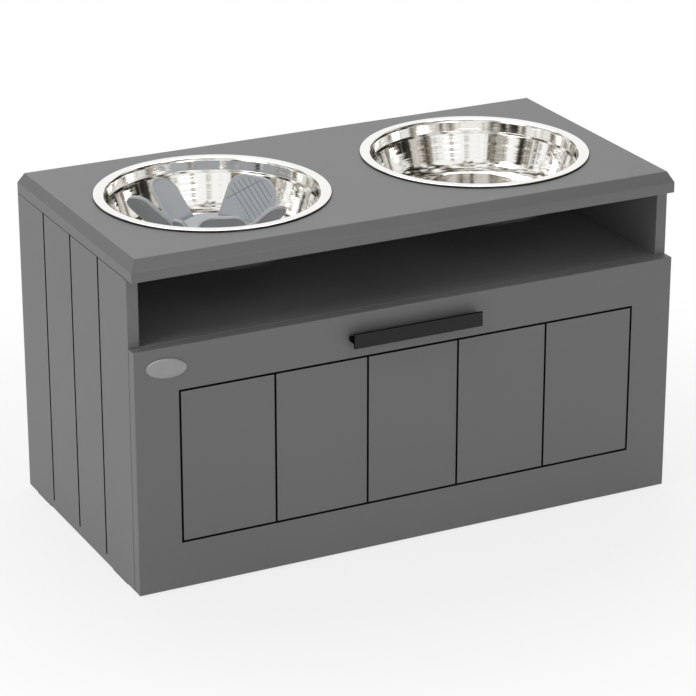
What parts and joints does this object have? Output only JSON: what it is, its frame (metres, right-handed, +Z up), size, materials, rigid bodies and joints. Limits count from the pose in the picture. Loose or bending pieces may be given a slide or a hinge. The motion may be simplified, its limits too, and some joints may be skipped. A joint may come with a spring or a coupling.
{
  "type": "elevated dog feeder",
  "caption": "Raised feeding cabinet with bevelled top, drop-in steel bowls, slow-feed insert, open shelf and a boarded pull-out storage drawer on roller runners.",
  "frame": {"origin": "on the floor, in the middle of the footprint with the drawer handle counted in", "axes": "+X along the long side to the right, +Y to the back panel, +Z up; the drawer opens towards -Y"},
  "size_m": [0.6, 0.3124, 0.3569],
  "materials": {
    "painted_board": "satin grey paint on MDF",
    "polished_steel": "bright polished stainless steel",
    "soft_plastic": "matt grey soft plastic",
    "black_metal": "matt black powder coat",
    "coated_rail": "white epoxy coat on folded steel",
    "nylon": "natural nylon",
    "zinc_steel": "bright zinc plate",
    "beech": "bare beech",
    "felt": "dark felt",
    "clear_rubber": "soft cloudy rubber",
    "cover_plastic": "grey plastic"
  },
  "bodies": {
    "cabinet": {"back_panel": "painted_board", "back_screws": "zinc_steel", "bottom_panel": "painted_board", "cabinet_cam_bolts": "zinc_steel", "cabinet_cam_locks": "zinc_steel", "cabinet_dowels": "beech", "cabinet_roller_pins": "zinc_steel", "cabinet_runner_screws": "zinc_steel", "cam_covers": "cover_plastic", "drawer_bumpers": "clear_rubber", "floor_pads": "felt", "left_cabinet_runner": "coated_rail", "left_side_panel": "painted_board", "right_cabinet_runner": "coated_rail", "right_side_panel": "painted_board", "shelf_panel": "painted_board", "top_panel": "painted_board"},
    "drawer": {"drawer_back": "painted_board", "drawer_back_screws": "zinc_steel", "drawer_bottom": "painted_board", "drawer_cam_bolts": "zinc_steel", "drawer_cam_locks": "zinc_steel", "drawer_dowels": "beech", "drawer_front": "painted_board", "drawer_handle": "black_metal", "drawer_roller_pins": "zinc_steel", "drawer_runner_screws": "zinc_steel", "handle_screws": "zinc_steel", "left_drawer_runner": "coated_rail", "left_drawer_side": "painted_board", "right_drawer_runner": "coated_rail", "right_drawer_side": "painted_board"},
    "left_front_roller": {"left_front_roller": "nylon"},
    "right_front_roller": {"right_front_roller": "nylon"},
    "left_rear_roller": {"left_rear_roller": "nylon"},
    "right_rear_roller": {"right_rear_roller": "nylon"},
    "left_bowl": {"left_bowl": "polished_steel"},
    "right_bowl": {"right_bowl": "polished_steel"},
    "slow_feeder": {"slow_feed_insert": "soft_plastic"}
  },
  "joints": [
    {"name": "drawer_slide", "type": "slide", "parent": "cabinet", "child": "drawer", "axis": [0, -1, 0], "range_m": [0, 0.19]},
    {"name": "left_front_roller_spin", "type": "hinge", "parent": "cabinet", "child": "left_front_roller", "pos_m": [-0.2813, -0.11455, 0.0511], "axis": [1, 0, 0], "range_deg": [0, 1215]},
    {"name": "right_front_roller_spin", "type": "hinge", "parent": "cabinet", "child": "right_front_roller", "pos_m": [0.2813, -0.11455, 0.0511], "axis": [1, 0, 0], "range_deg": [0, 1215]},
    {"name": "left_rear_roller_spin", "type": "hinge", "parent": "drawer", "child": "left_rear_roller", "pos_m": [-0.2813, 0.10925, 0.0493], "axis": [1, 0, 0], "range_deg": [0, 1215]},
    {"name": "right_rear_roller_spin", "type": "hinge", "parent": "drawer", "child": "right_rear_roller", "pos_m": [0.2813, 0.10925, 0.0493], "axis": [1, 0, 0], "range_deg": [0, 1215]},
    {"name": "left_bowl_lift", "type": "slide", "parent": "cabinet", "child": "left_bowl", "axis": [0, 0, 1], "range_m": [0, 0.07]},
    {"name": "right_bowl_lift", "type": "slide", "parent": "cabinet", "child": "right_bowl", "axis": [0, 0, 1], "range_m": [0, 0.07]},
    {"name": "slow_feeder_lift", "type": "slide", "parent": "left_bowl", "child": "slow_feeder", "axis": [0, 0, 1], "range_m": [0, 0.06]}
  ],
  "couplings": [
    {"joint": "left_front_roller_spin", "follows": "drawer_slide", "rad_per_m": 111.11},
    {"joint": "right_front_roller_spin", "follows": "drawer_slide", "rad_per_m": 111.11},
    {"joint": "left_rear_roller_spin", "follows": "drawer_slide", "rad_per_m": 111.11},
    {"joint": "right_rear_roller_spin", "follows": "drawer_slide", "rad_per_m": 111.11}
  ]
}
